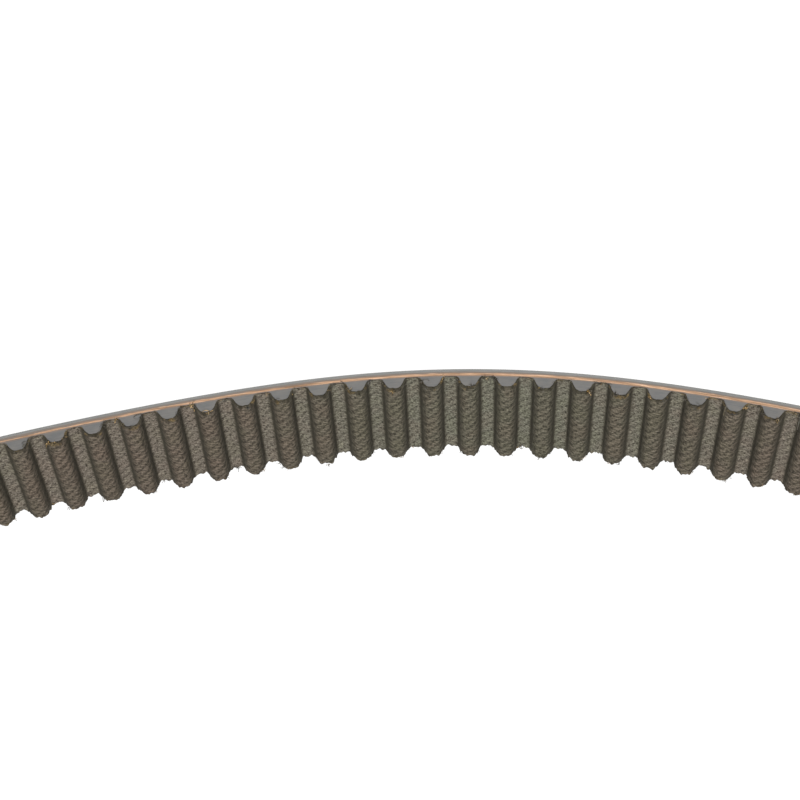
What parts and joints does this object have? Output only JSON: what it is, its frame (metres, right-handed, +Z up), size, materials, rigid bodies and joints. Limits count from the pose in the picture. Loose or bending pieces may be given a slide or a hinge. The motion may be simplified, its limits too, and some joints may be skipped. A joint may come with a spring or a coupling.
{
  "type": "timing belt",
  "caption": "Endless toothed drive belt with a rubber backing, tensile cords and fabric-faced rounded teeth, standing on edge in a loose oval loop.",
  "frame": {"origin": "middle of the loop, at the height of the cut edge it stands on", "axes": "+X along the loop's longest extent, +Z up across the belt's width"},
  "size_m": [0.4156, 0.2838, 0.027],
  "materials": {
    "backing_rubber": "matt ground rubber, clean-cut edges",
    "tensile_cord": "resin-treated glass fibre, cut through at the edges",
    "tooth_rubber": "matt, clean-cut",
    "facing_fabric": "worn crimped nylon weave, rubber-soaked"
  },
  "bodies": {
    "span_root": {"backing_root": "backing_rubber", "tensile_cords_root": "tensile_cord", "tooth_rubber_root": "tooth_rubber", "facing_fabric_root": "facing_fabric"},
    "span_a1": {"backing_a1": "backing_rubber", "tensile_cords_a1": "tensile_cord", "tooth_rubber_a1": "tooth_rubber", "facing_fabric_a1": "facing_fabric"},
    "span_a2": {"backing_a2": "backing_rubber", "tensile_cords_a2": "tensile_cord", "tooth_rubber_a2": "tooth_rubber", "facing_fabric_a2": "facing_fabric"},
    "span_a3": {"backing_a3": "backing_rubber", "tensile_cords_a3": "tensile_cord", "tooth_rubber_a3": "tooth_rubber", "facing_fabric_a3": "facing_fabric"},
    "span_a4": {"backing_a4": "backing_rubber", "tensile_cords_a4": "tensile_cord", "tooth_rubber_a4": "tooth_rubber", "facing_fabric_a4": "facing_fabric"},
    "span_a5": {"backing_a5": "backing_rubber", "tensile_cords_a5": "tensile_cord", "tooth_rubber_a5": "tooth_rubber", "facing_fabric_a5": "facing_fabric"},
    "span_a6": {"backing_a6": "backing_rubber", "tensile_cords_a6": "tensile_cord", "tooth_rubber_a6": "tooth_rubber", "facing_fabric_a6": "facing_fabric"},
    "span_b1": {"backing_b1": "backing_rubber", "tensile_cords_b1": "tensile_cord", "tooth_rubber_b1": "tooth_rubber", "facing_fabric_b1": "facing_fabric"},
    "span_b2": {"backing_b2": "backing_rubber", "tensile_cords_b2": "tensile_cord", "tooth_rubber_b2": "tooth_rubber", "facing_fabric_b2": "facing_fabric"},
    "span_b3": {"backing_b3": "backing_rubber", "tensile_cords_b3": "tensile_cord", "tooth_rubber_b3": "tooth_rubber", "facing_fabric_b3": "facing_fabric"},
    "span_b4": {"backing_b4": "backing_rubber", "tensile_cords_b4": "tensile_cord", "tooth_rubber_b4": "tooth_rubber", "facing_fabric_b4": "facing_fabric"},
    "span_b5": {"backing_b5": "backing_rubber", "tensile_cords_b5": "tensile_cord", "tooth_rubber_b5": "tooth_rubber", "facing_fabric_b5": "facing_fabric"},
    "span_b6": {"backing_b6": "backing_rubber", "tensile_cords_b6": "tensile_cord", "tooth_rubber_b6": "tooth_rubber", "facing_fabric_b6": "facing_fabric"}
  },
  "joints": [
    {"name": "bend_a1", "type": "hinge", "parent": "span_root", "child": "span_a1", "pos_m": [-0.19403, 0.05813, 0.0135], "axis": [0, 0, 1], "range_deg": [-12, 10], "stiffness_Nm_per_rad": 0.02},
    {"name": "bend_a2", "type": "hinge", "parent": "span_a1", "child": "span_a2", "pos_m": [-0.20537, -0.01994, 0.0135], "axis": [0, 0, 1], "range_deg": [-14.99, 12.49], "stiffness_Nm_per_rad": 0.02},
    {"name": "bend_a3", "type": "hinge", "parent": "span_a2", "child": "span_a3", "pos_m": [-0.16989, -0.08971, 0.0135], "axis": [0, 0, 1], "range_deg": [-6.68, 5.57], "stiffness_Nm_per_rad": 0.02},
    {"name": "bend_a4", "type": "hinge", "parent": "span_a3", "child": "span_a4", "pos_m": [-0.09824, -0.12371, 0.0135], "axis": [0, 0, 1], "range_deg": [-5.57, 6.68], "stiffness_Nm_per_rad": 0.02},
    {"name": "bend_a5", "type": "hinge", "parent": "span_a4", "child": "span_a5", "pos_m": [-0.01997, -0.13979, 0.0135], "axis": [0, 0, 1], "range_deg": [-12.49, 14.99], "stiffness_Nm_per_rad": 0.02},
    {"name": "bend_a6", "type": "hinge", "parent": "span_a5", "child": "span_a6", "pos_m": [0.05944, -0.13342, 0.0135], "axis": [0, 0, 1], "range_deg": [-10.03, 12.03], "stiffness_Nm_per_rad": 0.02},
    {"name": "bend_b1", "type": "hinge", "parent": "span_root", "child": "span_b1", "pos_m": [-0.05944, 0.13342, 0.0135], "axis": [0, 0, -1], "range_deg": [-10.02, 12.02], "stiffness_Nm_per_rad": 0.02},
    {"name": "bend_b2", "type": "hinge", "parent": "span_b1", "child": "span_b2", "pos_m": [0.01997, 0.13979, 0.0135], "axis": [0, 0, -1], "range_deg": [-12.49, 14.99], "stiffness_Nm_per_rad": 0.02},
    {"name": "bend_b3", "type": "hinge", "parent": "span_b2", "child": "span_b3", "pos_m": [0.09824, 0.12371, 0.0135], "axis": [0, 0, -1], "range_deg": [-5.57, 6.68], "stiffness_Nm_per_rad": 0.02},
    {"name": "bend_b4", "type": "hinge", "parent": "span_b3", "child": "span_b4", "pos_m": [0.16989, 0.08971, 0.0135], "axis": [0, 0, -1], "range_deg": [-6.68, 5.57], "stiffness_Nm_per_rad": 0.02},
    {"name": "bend_b5", "type": "hinge", "parent": "span_b4", "child": "span_b5", "pos_m": [0.20537, 0.01994, 0.0135], "axis": [0, 0, -1], "range_deg": [-14.99, 12.49], "stiffness_Nm_per_rad": 0.02},
    {"name": "bend_b6", "type": "hinge", "parent": "span_b5", "child": "span_b6", "pos_m": [0.19403, -0.05813, 0.0135], "axis": [0, 0, -1], "range_deg": [-12.03, 10.03], "stiffness_Nm_per_rad": 0.02}
  ],
  "couplings": [
    {"joint": "bend_a2", "follows": "bend_a1", "ratio": 1.247},
    {"joint": "bend_a3", "follows": "bend_a1", "ratio": 0.55496},
    {"joint": "bend_a4", "follows": "bend_a1", "ratio": -0.55496},
    {"joint": "bend_a5", "follows": "bend_a1", "ratio": -1.247},
    {"joint": "bend_a6", "follows": "bend_a1", "ratio": -1},
    {"joint": "bend_b1", "follows": "bend_a1", "ratio": -1},
    {"joint": "bend_b2", "follows": "bend_a1", "ratio": -1.247},
    {"joint": "bend_b3", "follows": "bend_a1", "ratio": -0.55496},
    {"joint": "bend_b4", "follows": "bend_a1", "ratio": 0.55496},
    {"joint": "bend_b5", "follows": "bend_a1", "ratio": 1.247},
    {"joint": "bend_b6", "follows": "bend_a1", "ratio": 1}
  ]
}
